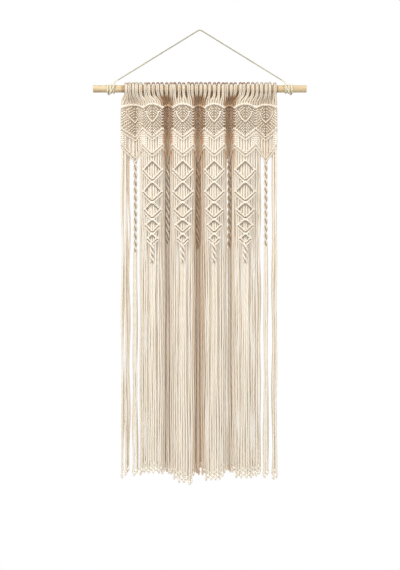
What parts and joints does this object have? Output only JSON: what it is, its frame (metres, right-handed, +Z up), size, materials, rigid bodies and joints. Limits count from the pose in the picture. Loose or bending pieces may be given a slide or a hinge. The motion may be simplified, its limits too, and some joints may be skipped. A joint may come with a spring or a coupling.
{
  "type": "macrame curtain and rod",
  "caption": "Knotted cotton door curtain gathered in soft folds on a round wooden rod, with leaf and diamond bars, twisted columns, a long knotted fringe and a thin hanging cord.",
  "frame": {"origin": "top of the hanging cord, at the point that a nail or hook carries", "axes": "+X along the rod to the right as seen from the front, +Z up, and the front faces -Y"},
  "size_m": [0.64, 0.0581, 1.3631],
  "materials": {
    "wood": "plain sanded wood",
    "twine": "thin twisted twine",
    "cotton": "twisted cotton cord"
  },
  "bodies": {
    "root": {"rod": "wood", "hanging_cord": "twine", "hitch_left": "twine", "hitch_right": "twine", "heading": "cotton", "leaf_panels": "cotton", "fringe": "cotton", "diamond_chain_1": "cotton", "diamond_chain_2": "cotton", "diamond_chain_3": "cotton", "diamond_chain_4": "cotton", "spiral_1": "cotton", "spiral_2": "cotton", "spiral_3": "cotton", "spiral_4": "cotton", "spiral_5": "cotton"}
  },
  "joints": []
}
